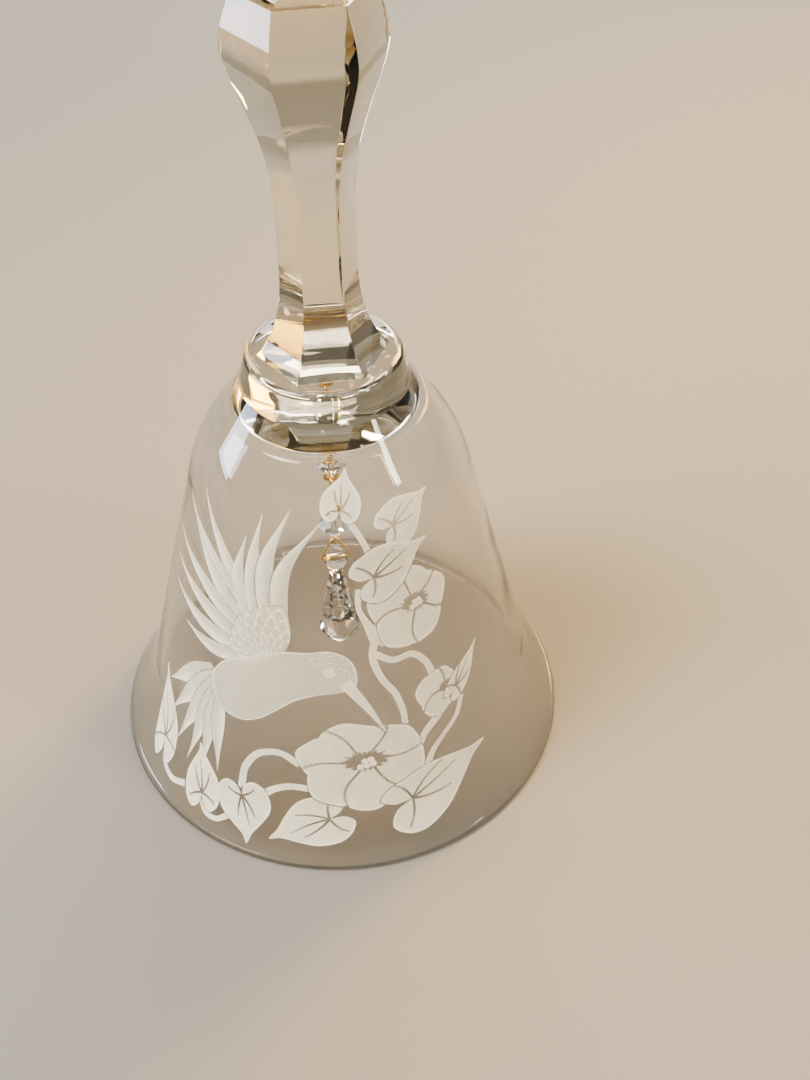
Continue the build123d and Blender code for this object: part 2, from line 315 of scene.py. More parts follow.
def inwards(angle):
    """Unit step from the wall's outside to its hollow side."""
    return along(angle + 90)


def bend(centre, radius, start, end, count):
    """Points on a circle whose spokes point outwards from lean `start` to lean `end`, by along's rule."""
    lean = np.radians(np.linspace(start, end, count))
    return centre + radius * np.stack([np.cos(lean), np.sin(lean)], -1)


edge_centre = np.array([RIM_RADIUS - RIM_EDGE, RIM_EDGE])
lip_start = edge_centre - inwards(LIP_ANGLE) * RIM_EDGE
flare_centre = lip_start - inwards(LIP_ANGLE) * FLARE_RADIUS
neck_top = np.array([COLLAR_RADIUS, CROWN_TOP])
neck_start = neck_top - along(NECK_ANGLE) * NECK_LENGTH
shoulder_centre = neck_start + inwards(NECK_ANGLE) * SHOULDER_RADIUS
link = shoulder_centre - flare_centre
BODY_ANGLE = math.degrees(math.atan2(-link[0], link[1])) - math.degrees(
    math.asin((FLARE_RADIUS + SHOULDER_RADIUS) / np.linalg.norm(link))
)


def wall_line(depth, lip_lean=LIP_ANGLE):
    """The wall's line from lip to neck, `depth` mm inside its outer face."""
    flare = bend(flare_centre, -(FLARE_RADIUS + depth), lip_lean, BODY_ANGLE, 40)
    shoulder = bend(shoulder_centre, SHOULDER_RADIUS - depth, BODY_ANGLE, NECK_ANGLE, 40)
    body = flare[-1] + np.linspace(0, 1, 24)[1:-1, None] * (shoulder[0] - flare[-1])
    return np.concatenate([flare, body, shoulder])


# %% [markdown]
# The outline runs from the crown's edge down the outside, round the ground foot of the lip and up the
# inside, and ends in the blind socket that holds the clapper's eye. Turned round the axis in 240 steps it
# is smooth enough to bend light cleanly.

# %% Bowl
def bowl_outline():
    """Half-section of the bowl as (radius, height) rows, from the crown's edge round to the socket."""
    outside = np.concatenate([[neck_top], wall_line(0)[::-1]])
    outer_edge = bend(edge_centre, RIM_EDGE, LIP_ANGLE, -90, 10)[1:]
    inner_flare = FLARE_RADIUS + WALL
    lip_lean = math.degrees(math.asin(flare_centre[1] / inner_flare))
    inside = wall_line(WALL, lip_lean)
    run = inside[1] - inside[0]
    run /= np.linalg.norm(run)
    foot_to_lip = math.pi - math.atan2(run[1], -run[0])
    cut = INNER_EDGE * math.tan((math.pi - foot_to_lip) / 2)
    foot_end = inside[0] + np.array([cut, 0])
    wall_end = inside[0] + run * cut
    t = np.linspace(0, 1, 7)[:, None]
    inner_edge = (1 - t) ** 2 * foot_end + 2 * t * (1 - t) * inside[0] + t**2 * wall_end
    inside = inside[inside[:, 1] > wall_end[1] + 0.1]
    ceiling = CROWN_TOP - CROWN
    rise = along(NECK_ANGLE)
    corner = inside[-1] + rise * ((ceiling - CEILING_RISE - inside[-1][1]) / rise[1])
    dome_radius = (corner[0] ** 2 + CEILING_RISE**2) / (2 * CEILING_RISE)
    reach = np.linspace(corner[0], SOCKET_RADIUS, 30)
    dome = np.stack([reach, ceiling - dome_radius + np.sqrt(dome_radius**2 - reach**2)], -1)
    corner_cut = CEILING_CORNER * math.tan(math.radians(90 - NECK_ANGLE) / 2)
    low = corner - rise * corner_cut
    dome = dome[dome[:, 0] < corner[0] - corner_cut]
    t = np.linspace(0, 1, 12)[:, None]
    weight = 2 * t * (1 - t) * math.cos(math.radians(90 - NECK_ANGLE) / 2)
    ends = (1 - t) ** 2 * low + t**2 * dome[0]
    round_corner = (ends + weight * corner) / ((1 - t) ** 2 + t**2 + weight)
    socket = [[SOCKET_RADIUS, ceiling + SOCKET_DEPTH]]
    return np.concatenate([outside, outer_edge, inner_edge, inside, round_corner, dome[1:], socket])


bowl = skin(
    "bell_bowl",
    [turned(bowl_outline(), TURN_STEPS)],
    "glass",
    BLOWN_CRYSTAL,
    replaces=["bowl"],
    sharp=38,
)
print(f"bowl: {len(bowl.data.vertices)} points, body leans {BODY_ANGLE:.1f} degrees")

# %% [markdown]
# The collar is a wafer of hot glass that joined handle to bowl. Its upper edge is rounded by the flame.
# Collar and handle each sink 0.02 mm into what they stand on: fused glass has no gap, and a gap would
# mirror light where the real joint lets it through.

# %% Collar
FUSED = 0.02
COLLAR_TOP_RADIUS = 14.0
COLLAR_EDGE = 1.6


def rounded_corner(before, corner, after, radius, count=12):
    """An arc of `radius` that replaces the corner between two straight runs."""
    before, corner, after = (np.asarray(p, float) for p in (before, corner, after))
    back = (before - corner) / np.linalg.norm(before - corner)
    ahead = (after - corner) / np.linalg.norm(after - corner)
    half = math.acos(float(back @ ahead)) / 2
    start, end = corner + back * radius / math.tan(half), corner + ahead * radius / math.tan(half)
    t = np.linspace(0, 1, count)[:, None]
    weight = 2 * t * (1 - t) * math.sin(half)
    return ((1 - t) ** 2 * start + weight * corner + t**2 * end) / ((1 - t) ** 2 + weight + t**2)


collar_side = np.linspace([COLLAR_RADIUS, CROWN_TOP - FUSED], [COLLAR_TOP_RADIUS, COLLAR_TOP], 12)
collar_edge = rounded_corner(collar_side[0], collar_side[-1], [0, COLLAR_TOP], COLLAR_EDGE)
collar_side = collar_side[collar_side[:, 1] < collar_edge[0][1]]
collar_outline = np.concatenate([collar_side, collar_edge])
collar = skin(
    "bell_collar",
    [turned(collar_outline, TURN_STEPS)],
    "glass",
    POLISHED_CRYSTAL,
    replaces=["collar"],
)
print(f"collar: {len(collar.data.vertices)} points")

# %% [markdown]
# The handle is a bar of crystal ground to six panels that hollow in at the waist and swell to a knob. One
# section is a hexagon with softened corners: each corner is a small arc, and straight lines join the arcs.
# Its size changes with height. How far a panel stands from the axis is read off the loaded handle, along
# the edge that it shares with its neighbour, and a smooth line through those points gives every height.

# %% Handle
PANELS = 6
CORNER = 0.35  # softening of the edges between panels
KNOB_HEIGHT = 55.2  # heights above the collar, in mm
KNOB_TOP = 58.2
KNOB_TOP_HALF = 10.85
CREASE = 1.0
BEVEL_TOP = 63.4
CAP_RADIUS = 9.3
CAP_EDGE = 0.8
NEAR = 0.01  # mm; points nearer than this count as on an edge


def panel_line():
    """Rows of (half-width, height above the collar) up the edge of the panel that faces +Y, to the knob."""
    mesh = frame["nodes"]["handle"].data
    points = np.empty(3 * len(mesh.vertices))
    mesh.vertices.foreach_get("co", points)
    x, y, z = points.reshape(-1, 3).T / MM
    at_edge = (np.abs(x - y * math.tan(math.pi / PANELS)) < NEAR) & (y > NEAR)
    at_edge &= z < COLLAR_TOP + KNOB_HEIGHT + NEAR
    height, first = np.unique(np.round(z[at_edge] - COLLAR_TOP, 2), return_index=True)
    return np.stack([y[at_edge][first], height], -1)


def hexagon(half, height, corner):
    """Rounded six-sided rings: arcs about six corner centres, for arrays of half-widths and heights."""
    middle = math.radians(180 / PANELS) * (2 * np.arange(PANELS))
    spread = math.radians(180 / PANELS) * np.linspace(-1, 1, 7)
    half, height = np.asarray(half)[:, None, None], np.asarray(height)[:, None, None]
    out = (half - corner) / math.cos(math.pi / PANELS)
    x = out * np.cos(middle)[:, None] + corner * np.cos(middle[:, None] + spread)
    y = out * np.sin(middle)[:, None] + corner * np.sin(middle[:, None] + spread)
    rings = np.stack([x, y, height + 0 * x], -1)
    return rings.reshape(len(rings), -1, 3)


read_off = panel_line()
levels = np.linspace(0, KNOB_HEIGHT, 90)
halves = smooth(read_off[:, 1], read_off[:, 0], levels)
band = np.linspace([halves[-1], levels[-1]], [KNOB_TOP_HALF, KNOB_TOP], 5)[1:]
crease = rounded_corner(band[0], band[-1], [CAP_RADIUS, BEVEL_TOP], CREASE, 6)
bevel = np.linspace(crease[-1], [CAP_RADIUS, BEVEL_TOP], 8)[1:]
sides = np.concatenate([np.stack([halves, levels], -1), band[:-1], crease, bevel])
sides[0, 1] -= FUSED
panels = hexagon(sides[:, 0], COLLAR_TOP + sides[:, 1], CORNER)
cap_top = HANDLE_TOP
cap_base = COLLAR_TOP + BEVEL_TOP
cap_side = np.array([[CAP_RADIUS, cap_base], [CAP_RADIUS, cap_base + 0.2]])
cap_edge = rounded_corner([CAP_RADIUS, cap_base], [CAP_RADIUS, cap_top], [0, cap_top], CAP_EDGE)
cap_line = np.concatenate([cap_side, cap_edge])
spokes = np.arctan2(panels[-1, :, 1], panels[-1, :, 0])
cap_out, cap_up = cap_line[:, :1], cap_line[:, 1:]
cap_rings = np.stack([cap_out * np.cos(spokes), cap_out * np.sin(spokes), cap_up + 0 * spokes], -1)
skin(
    "bell_handle",
    [np.concatenate([panels, cap_rings])],
    "glass",
    POLISHED_CRYSTAL,
    replaces=["handle"],
    sharp=24,
)
print(f"handle: {len(panels)} sections of {PANELS} panels, from {len(read_off)} half-widths read off")

# %% [markdown]
# The front of the bowl carries a frosted drawing of a hummingbird at a spray of trumpet blossoms. On the
# real bell it is blasted with fine grit through a stencil, which leaves a dense white skin a few hundredths
# of a millimetre from the polished face. It could be painted on with a mask, but a mask has no edge that
# catches light. So each feather, petal and leaf is a thin plate of its own that follows the wall. A plate
# is drawn flat in millimetres about an anchor, an angle round the bowl and a height up the wall's line,
# and is then laid on the glass. Its `frost` value says how dense the white is, and 0 leaves clear glass.

# %% Laying a drawing on the wall
FRONT = -95.8  # the side that the drawing faces, in degrees from +X
PLATE_OUT = 0.05
PLATE_IN = 0.04
LAYER = 0.012  # how much further out each overlapping layer lies
THIN_END = 0.04  # half the width that a blade keeps at its very tip

wall_points = np.concatenate([wall_line(0), [neck_top]])
wall_up = np.concatenate([[0], np.cumsum(np.linalg.norm(np.diff(wall_points, axis=0), axis=1))])
wall_step = np.gradient(wall_points, wall_up, axis=0)


@dataclass
class Shape:
    """One plate: a grid of wall places (degrees, up), its frost there, its layer, and its closed edge."""

    places: np.ndarray
    frost: np.ndarray
    layer: int
    edge: np.ndarray
    ringed: bool  # whether each row runs once round the plate


def radius_at(up):
    """Distance from the axis at heights up the wall's line."""
    return np.interp(up, wall_up, wall_points[:, 0])


def on_wall(degrees, up, out):
    """Points in mm at angles from the front, at heights up the wall's line and `out` mm off the glass."""
    height = np.interp(up, wall_up, wall_points[:, 1])
    step_r, step_z = (np.interp(up, wall_up, wall_step[:, i]) for i in (0, 1))
    radius, height = radius_at(up) + out * step_z, height - out * step_r
    angle = np.radians(FRONT + degrees)
    return np.stack([radius * np.cos(angle), radius * np.sin(angle), height], -1)


def flat(places, anchor):
    """Wall places (degrees, up) as flat millimetres (right, up) about an anchor place."""
    places = np.asarray(places, float)
    right = np.radians(places[..., 0] - anchor[0]) * radius_at(places[..., 1])
    return np.stack([right, places[..., 1] - anchor[1]], -1)


def from_flat(drawing, anchor):
    """The wall places of flat millimetres about an anchor place."""
    up = anchor[1] + drawing[..., 1]
    return np.stack([anchor[0] + np.degrees(drawing[..., 0] / radius_at(up)), up], -1)


def lay(shape):
    """Rings and frost of a closed plate: its frosted face, and a clear underside just inside the glass."""
    degrees, up = shape.places[..., 0], shape.places[..., 1]
    face = on_wall(degrees, up, PLATE_OUT + LAYER * shape.layer)
    under = on_wall(degrees, up, -PLATE_IN)
    clear = 0 * shape.frost
    if shape.ringed:
        return np.concatenate([face, under[::-1]]), np.concatenate([shape.frost, clear])
    return np.concatenate([face, under[:, ::-1]], 1), np.concatenate([shape.frost, clear], 1)


def smoothstep(low, high, at):
    """0 below low, 1 above high, and an easy curve between."""
    t = np.clip((at - low) / (high - low), 0, 1)
    return t * t * (3 - 2 * t)


print(f"the wall's line is {wall_up[-1]:.1f} mm long, and the drawing faces {FRONT:.1f} degrees")

# %% [markdown]
# Two shapes make the whole drawing. A blade is a spine with a width on each side, for feathers, stems and
# the beak. A pad is an outline filled from a point inside it, for leaves, blossoms and the body.

# %% Blades and pads
def blade(spine, widths, frost, layer=0, rows=40, columns=13):
    """A plate about a spine of wall places. widths are (left, right) knots in mm, evenly spaced along it."""
    anchor = np.asarray(spine[len(spine) // 2], float)
    line = curve_through(flat(spine, anchor), rows)
    t = np.linspace(0, 1, rows)
    step = np.gradient(line, axis=0)
    side = np.stack([-step[:, 1], step[:, 0]], -1) / np.linalg.norm(step, axis=1)[:, None]
    knots = np.linspace(0, 1, len(widths))
    left, right = (np.maximum(smooth(knots, [w[i] for w in widths], t), THIN_END) for i in (0, 1))
    across = np.linspace(-1, 1, columns)
    reach = np.where(across < 0, right[:, None], left[:, None]) * across
    places = from_flat(line[:, None] + reach[..., None] * side[:, None], anchor)
    edge = np.concatenate([places[:, 0], places[::-1, -1]])
    return Shape(places, frost(t[:, None], across[None], reach) + 0 * reach, layer, edge, False)


def pad(outline, middle, frost, anchor, layer=0, rows=30):
    """A plate filled from a middle point out to a closed outline, both in flat mm about the anchor."""
    reach = np.linspace(0.03, 1, rows)[:, None]
    drawing = middle + reach[..., None] * (outline[None] - middle)
    from_edge = (1 - reach) * np.linalg.norm(outline - middle, axis=1)
    places = from_flat(drawing, anchor)
    return Shape(places, frost(drawing, from_edge), layer, places[-1], True)


# %% [markdown]
# Where one leaf or petal lies over another, the stencil left a hair's breadth of clear glass between them.
# So a lower shape loses its frost under the shapes above it and just round them. To find where, each of
# its points is measured against every straight piece of the upper shape's edge.

# %% Clear lines round what lies on top
HAIR = 0.3  # width of a clear line


def distance_outside(points, edge):
    """How far flat points lie outside a closed edge, in mm, and less than 0 inside it."""
    start, run = edge, np.roll(edge, -1, axis=0) - edge
    offset = points[:, None] - start
    length = np.maximum((run**2).sum(-1), 1e-12)
    along_run = np.clip((offset * run).sum(-1) / length, 0, 1)
    nearest = np.linalg.norm(offset - along_run[..., None] * run, axis=-1).min(1)
    above = offset[..., 1] >= 0
    crosses = above != (offset[..., 1] >= run[:, 1])
    rise = np.where(run[:, 1] == 0, 1, run[:, 1])
    to_right = offset[..., 0] < run[:, 0] * offset[..., 1] / rise
    inside = (crosses & to_right).sum(1) % 2 == 1
    return np.where(inside, -nearest, nearest)


def clear_under(shape, covers, hair=HAIR, left=0.0):
    """Takes the frost of a shape down to the share `left` of itself under its covers and round them."""
    anchor = shape.places.reshape(-1, 2).mean(0)
    points = flat(shape.places, anchor).reshape(-1, 2)
    for cover in covers:
        outside = distance_outside(points, flat(cover.edge, anchor)).reshape(shape.frost.shape)
        shape.frost = shape.frost * (left + (1 - left) * smoothstep(0.6 * hair, 1.2 * hair, outside))


def stack(shapes, hair=HAIR, left=0.0):
    """Gives each shape a clear line where a later one in the list lies over it."""
    for i, shape in enumerate(shapes):
        clear_under(shape, shapes[i + 1 :], hair, left)


# %% [markdown]
# A flight feather is a long blade that sweeps back towards its tip. Its frost is densest along the leading
# edge and thins towards the other, which is what parts it from the next feather. Every feather is the same
# blade with its own root, bend, tip and width, so a wing is a short list of places.

# %% Feathers
FEATHER_SOFT = 0.56  # frost at the trailing edge
FEATHER_BRIGHT = 0.36  # what the leading edge adds
FEATHER_TIP = 0.1  # what the tip adds
FEATHER_SHARES = (0.5, 0.92, 1.0, 0.72, 0.3, 0.02)  # width from root to tip, as shares of the broadest
FEATHER_PARTING = 0.28  # width of the clear line between neighbours


def feather_frost(t, across, reach):
    """Bright at the left edge, softer to the right, and brighter towards the tip."""
    return np.clip(FEATHER_SOFT + FEATHER_BRIGHT * smoothstep(-0.5, 0.95, across) + FEATHER_TIP * t, 0, 1)


def feather(root, bend_at, tip, width, layer=0):
    """A feather from root to tip by way of bend_at; width is that of its broadest part, in mm."""
    widths = [(share * width / 2,) * 2 for share in FEATHER_SHARES]
    return blade([root, bend_at, tip], widths, feather_frost, layer)


NEAR_WING_WIDTHS = [3.0, 3.4, 3.0, 3.2, 3.2, 3.2, 3.0]
near_wing_tips = [(-63.5, 74.5), (-75, 70), (-66.5, 67), (-80, 60), (-77, 54), (-74, 48.6), (-63, 43.4)]
near_wing_bends = [(-46, 65), (-51.5, 62.5), (-49.5, 59), (-54.5, 56), (-54, 51.5), (-52.5, 47), (-47, 43.2)]
near_wing_roots = np.linspace((-31, 55), (-34, 44.8), len(near_wing_tips))
near_wing_lines = zip(near_wing_roots, near_wing_bends, near_wing_tips, NEAR_WING_WIDTHS)
near_wing = [feather(*places, width, i % 3) for i, (*places, width) in enumerate(near_wing_lines)]
far_wing = [
    feather((-34, 54), (-38.5, 62.5), (-36.3, 71), 3.0, 0),
    feather((-30.5, 54), (-32.5, 65), (-30.2, 76.2), 3.2, 1),
    feather((-25.8, 53.5), (-27, 66.5), (-18, 78.3), 3.5, 2),
    feather((-20.3, 51), (-20.3, 65.5), (-4.8, 76.6), 3.4, 0),
]
tail_tips = [(-67, 25.5), (-63, 19.5), (-58, 14), (-52, 12), (-46, 12), (-40, 14.4)]
tail_roots = np.linspace((-45.5, 38.5), (-41.5, 33.5), len(tail_tips))
tail = []
for i, (root, tip) in enumerate(zip(tail_roots, tail_tips)):
    middle = (np.array(root) + tip) / 2
    tail.append(feather(root, middle - [0.6, 0], tip, 4.3 - 0.2 * i, i % 3))
for wing in (near_wing, far_wing, tail):
    stack(wing, FEATHER_PARTING, left=0.25)
print(f"{len(near_wing) + len(far_wing)} flight feathers and {len(tail)} tail feathers")

# %% [markdown]
# The coverts are the small round feathers that fill the wing between its long ones and the back. They
# overlap like scales, so they are drawn as scales: arcs in rows about the shoulder, each row half a step
# from the next, bright at the arcs and soft between them.

# %% Coverts
SHOULDER = (-23.5, 44.5)
SCALE_TURN = 13.0  # degrees between neighbours, seen from the shoulder
SCALE_ROW = 1.9  # mm from row to row
SCALE_SOFT = 0.56  # frost between the arcs
SCALE_BRIGHT = 0.42  # what an arc adds


def scale_frost(drawing, from_edge):
    """Bright arcs over a soft ground. An arc bulges outwards by a parabola between two radial lines."""
    bearing = np.degrees(np.arctan2(drawing[..., 1], drawing[..., 0])) / SCALE_TURN
    row = np.linalg.norm(drawing, axis=-1) / SCALE_ROW
    nearest = np.full(row.shape, 9.0)
    for back in (0, 1):
        own = np.floor(row) - back
        offset = (bearing + 0.5 * (own % 2)) % 1 - 0.5
        arc = own + 1 - 4 * offset**2
        nearest = np.minimum(nearest, np.abs(row - arc) * SCALE_ROW)
    return SCALE_SOFT + SCALE_BRIGHT * (1 - smoothstep(0.14, 0.36, nearest))


covert_edge = [(-34, 55.4), (-28, 57.2), (-20, 58.2), (-17.2, 54.5), (-18, 50), (-24, 46.4)]
covert_edge += [(-33, 43.6), (-38, 44.6), (-39.5, 48.5), (-37.5, 52.5), (-34, 55.4)]
covert_line = curve_through(flat(covert_edge, SHOULDER), 181)[:-1]
coverts = pad(covert_line, flat((-27, 51), SHOULDER), scale_frost, SHOULDER, 4, rows=60)
print(f"coverts: scales {SCALE_ROW} mm apart")

# %% [markdown]
# The bird's body is one pad from the rump to the brow, full at the breast and rounded at the crown. Its
# frost is soft with a bright outline. Rows of short bright dashes are the small feathers of the crown,
# the beak is a blade, and a ring with a dot is the eye.

# %% Body, beak and eye
EYE = (-4.2, 45.0)
OUTLINE = 0.5  # width of the bright line round the body
BODY_MIDDLE = (-20.0, 42.5)
BODY_SOFT = 0.55  # frost inside the outline
BODY_BRIGHT = 0.41  # what the outline adds
CROWN_ROW = 0.75  # mm between the rows of dashes
CROWN_DASHES = 11  # dashes in a full turn
CROWN_ROWS = (3, 6)  # first and last row, counted from the eye
CROWN_ARC = (-20, 150)  # where a row begins and ends, in degrees from the right


def body_frost(drawing, from_edge):
    """A bright outline round a soft middle, with rows of dashes over the crown, in rings about the eye."""
    soft = BODY_SOFT + BODY_BRIGHT * (1 - smoothstep(0.35 * OUTLINE, OUTLINE, from_edge))
    from_eye = drawing - flat(EYE, BODY_MIDDLE)
    ring = np.linalg.norm(from_eye, axis=-1) / CROWN_ROW
    bearing = np.degrees(np.arctan2(from_eye[..., 1], from_eye[..., 0]))
    row = np.round(ring)
    dash = np.sin(np.radians(bearing * CROWN_DASHES + 180 * (row % 2))) > -0.2
    crown = (row >= CROWN_ROWS[0]) & (row <= CROWN_ROWS[1])
    crown &= (bearing > CROWN_ARC[0]) & (bearing < CROWN_ARC[1])
    line = 1 - smoothstep(0.12, 0.26, np.abs(ring - row))
    return np.maximum(soft, 0.98 * (crown & dash) * line)


def plain_frost(t, across, reach):
    """Even white, a little denser at the edges."""
    return 0.86 + 0.12 * np.abs(across) ** 2


def dot(place, size, value, layer):
    """A small round pad, `size` mm across, with an even frost."""
    angle = np.linspace(0, 2 * math.pi, 20, endpoint=False)
    outline = size / 2 * np.stack([np.cos(angle), np.sin(angle)], -1)
    return pad(outline, np.zeros(2), lambda drawing, from_edge: value + 0 * from_edge, place, layer, rows=4)


back = [(-46, 37.4), (-42, 41.4), (-34.5, 44.6), (-27, 47)]
back += [(-19, 48.8), (-11, 49.3), (-4, 49.7), (1.8, 48.2)]
front = [(4.6, 44.8), (3.6, 41.2), (-2, 40.4), (-8.5, 39.8), (-15, 38.2), (-21, 35.2), (-27, 32)]
front += [(-33, 30.2), (-39, 30.4), (-43.7, 32.8), (-46, 37.4)]
body_line = curve_through(flat(back + front, BODY_MIDDLE), 241)[:-1]
body = pad(body_line, np.zeros(2), body_frost, BODY_MIDDLE, 5, rows=60)
beak_widths = [(1.3, 1.3), (0.75, 0.75), (0.12, 0.12)]
beak = blade([(0.6, 42.6), (6.4, 37.2), (12, 30.2)], beak_widths, plain_frost, 6)
eye = [dot(EYE, 2.2, 0.98, 7), dot(EYE, 1.4, 0.6, 8), dot((EYE[0] + 0.3, EYE[1] + 0.2), 0.6, 1.0, 9)]
for feather_under in near_wing + far_wing + tail:
    clear_under(feather_under, [body], hair=0.1)
    clear_under(feather_under, [coverts], hair=0.04, left=0.3)
print(f"body: outline of {len(body_line)} points")

# %% [markdown]
# A leaf is heart-shaped: two round lobes either side of the stalk, then a full blade that draws in to a
# long tip, which may sway to one side. Its veins are clear lines that start broad at the stalk and run out
# thin: one down the middle and a pair that curve out into each half.

# %% Leaves
LEAF_TOP = [(1, 0), (0.82, 0.16), (0.6, 0.53), (0.32, 0.92), (0.05, 1)]  # (ahead, aside), tip to shoulder
LEAF_LOBE = [(-0.2, 0.84), (-0.31, 0.5), (-0.22, 0.16), (0, 0)]
LEAF_HALF = np.array(LEAF_TOP + LEAF_LOBE)
SKIN_FROST = 0.82  # frost in the middle of a leaf or petal
SKIN_EDGE = 0.16  # what its edge adds
VEIN = 0.21  # half the width of a clear line at the stalk
# Each vein's bearing from the middle line, how far it turns, both in degrees, and its share of the length.
VEINS = [(0, 8, 0.64), (36, -30, 0.5), (-36, 30, 0.48), (94, 70, 0.34), (-94, -70, 0.34)]


def leaf(notch, tip, half_width, layer=0, lobes=(1.0, 1.0), sway=0.0):
    """A heart-shaped leaf from its notch to its tip; lobes scale its left and its right side."""
    notch = np.asarray(notch, float)
    ahead = flat(tip, notch)
    length = float(np.linalg.norm(ahead))
    ahead = ahead / length
    left = np.array([-ahead[1], ahead[0]])
    half = LEAF_HALF * [length, half_width]
    right_side = half[::-1] * [1, -lobes[1]]
    corners = np.concatenate([right_side[:-1], half * [1, lobes[0]]])
    own = curve_through(corners, 150)[:-1]
    own[:, 1] += sway * own[:, 0] * (1 - own[:, 0] / length) * (own[:, 0] > 0)

    def frost(drawing, from_edge):
        """Clear veins, whose bearing turns with distance, in a skin that is densest at the leaf's edge."""
        x, y = drawing @ ahead, drawing @ left
        y = y - sway * x * (1 - x / length) * (x > 0)
        far = np.hypot(x, y) / length
        bearing = np.degrees(np.arctan2(y, x))
        nearest = np.full(x.shape, 9.0)
        for start, bend_by, reach in VEINS:
            off = np.abs((bearing - start - bend_by * far + 180) % 360 - 180)
            nearest = np.minimum(nearest, np.radians(off) * far * length + 9 * (far > reach))
        taper = 1.25 - 1.5 * np.clip(far, 0, 0.6)
        clear = smoothstep(0.5 * VEIN * taper, 1.5 * VEIN * taper, nearest)
        return clear * (SKIN_FROST + SKIN_EDGE * (1 - smoothstep(0.2, 0.8, from_edge)))

    outline = own[:, :1] * ahead + own[:, 1:] * left
    return pad(outline, ahead * 0.1 * length, frost, notch, layer, rows=50)


high_leaves = [
    leaf((3, 78.3), (7.5, 85.6), 3.6, 1),
    leaf((24, 73.6), (44, 77.2), 4.6, 0, lobes=(0.85, 1.1), sway=0.15),
]
leaf_over_high_blossom = leaf((13.5, 64.4), (37.5, 68.6), 5.0, 6, lobes=(1.0, 1.1), sway=0.2)
low_leaves = [
    leaf((-63.5, 11), (-70.5, 27.5), 4.4, 0, sway=-0.1),
    leaf((-43.5, 7.4), (-47.5, 18.5), 4.6, 0),
    leaf((-31, 11.8), (-27.3, 1.9), 6.0, 1, sway=0.15),
]
leaf_under_low_blossom = leaf((-5.6, 10.4), (-21.5, 4.4), 5.6, 0, sway=-0.2)
leaf_over_low_blossom = leaf((17.5, 12.3), (44, 16.6), 6.6, 5, lobes=(0.75, 1.2), sway=0.2)
leaf_over_side_blossom = leaf((37.5, 33.5), (50, 40), 2.2, 5, lobes=(1.0, 1.2))
high_leaves += [leaf_over_high_blossom, leaf_over_side_blossom]
low_leaves += [leaf_under_low_blossom, leaf_over_low_blossom]
leaves = high_leaves + low_leaves
print(f"{len(leaves)} leaves")

# %% [markdown]
# A trumpet blossom seen from the front is a ring of petals that are joined low down. Clear lines part the
# petals, and a ragged clear throat holds a bunch of round stamens. The outline is a circle whose radius
# swells over each petal, with two slower waves on top, so that no two petals are quite alike.

# %% Blossoms
def blossom(place, radius, petals, stretch, turn, throat, layer=2):
    """Petals round a throat. turn is the first parting's direction in degrees; stretch is (right, up)."""
    place = np.asarray(place, float)
    angle = np.linspace(0, 2 * math.pi, 200, endpoint=False)
    petal = np.abs(np.sin(petals / 2 * (angle - math.radians(turn))))
    wave = 0.87 + 0.1 * petal**0.5 + 0.05 * petal**6
    wave = wave + 0.03 * np.sin(3 * angle + 1) + 0.015 * np.sin(7 * angle)
    outline = radius * wave[:, None] * np.stack([np.cos(angle), np.sin(angle)], -1) * stretch
    centre = np.asarray(throat, float)

    def frost(drawing, from_edge):
        """Clear partings and a ragged clear throat in a skin that is densest at the petals' edges."""
        offset = (drawing - centre) / stretch
        distance = np.hypot(offset[..., 0], offset[..., 1])
        swirl = 0.22 * np.sin(distance / radius * 3)
        bearing = np.arctan2(offset[..., 1], offset[..., 0]) - math.radians(turn) + swirl
        parting = np.abs(np.sin(petals / 2 * bearing)) * distance * 2 / petals
        clear = smoothstep(0.5 * VEIN, 1.4 * VEIN, parting)
        flattened = np.hypot(offset[..., 0] / 1.35, offset[..., 1] / 0.85)
        ragged = radius * (0.225 + 0.03 * np.sin(bearing * 17) + 0.018 * np.sin(bearing * 31))
        open_throat = smoothstep(0, 0.3, flattened - ragged)
        return clear * open_throat * (SKIN_FROST + SKIN_EDGE * (1 - smoothstep(0.2, 0.9, from_edge)))

    return pad(outline, centre, frost, place, layer, rows=56)


STAMENS = [(-1.1, -0.75), (0.0, -0.6), (-0.3, 0.35), (0.75, 0.55), (1.1, -0.35)]


def stamens(place, throat, spread, size):
    """Dots in a throat, as wall places worked out from the blossom's own."""
    return [dot(from_flat(np.array(at) * spread + throat, place), size, 1.0, 6) for at in STAMENS]


LOW_BLOSSOM = (4.2, 22.6)
HIGH_BLOSSOM = (25.5, 56)
SIDE_BLOSSOM = (31, 34.6)
low_blossom = blossom(LOW_BLOSSOM, 11.6, 6, (1.12, 0.92), 12, (0.8, 1.2))
high_blossom = blossom(HIGH_BLOSSOM, 8.6, 5, (0.95, 1.02), 50, (1.3, 0.6))
side_blossom = blossom(SIDE_BLOSSOM, 5.4, 4, (0.95, 1.0), 20, (2.0, 0.4), layer=1)
blossoms = [low_blossom, high_blossom, side_blossom]
clear_under(low_blossom, [leaf_over_low_blossom, beak])
clear_under(leaf_under_low_blossom, [low_blossom])
clear_under(high_blossom, [leaf_over_high_blossom])
clear_under(side_blossom, [leaf_over_side_blossom])
dots = stamens(LOW_BLOSSOM, (0.9, 0.8), 1.15, 1.35) + stamens(HIGH_BLOSSOM, (1.4, 0.3), 0.85, 1.05)
print(f"{len(blossoms)} blossoms and {len(dots)} stamens")

# %% [markdown]
# Stems join it all. A stem is a thin blade, and some swell a little where they meet a flower. Where a stem
# runs on under a leaf or a blossom its frost is cleared. Two short broad blades, the calyxes, carry a
# blossom each.

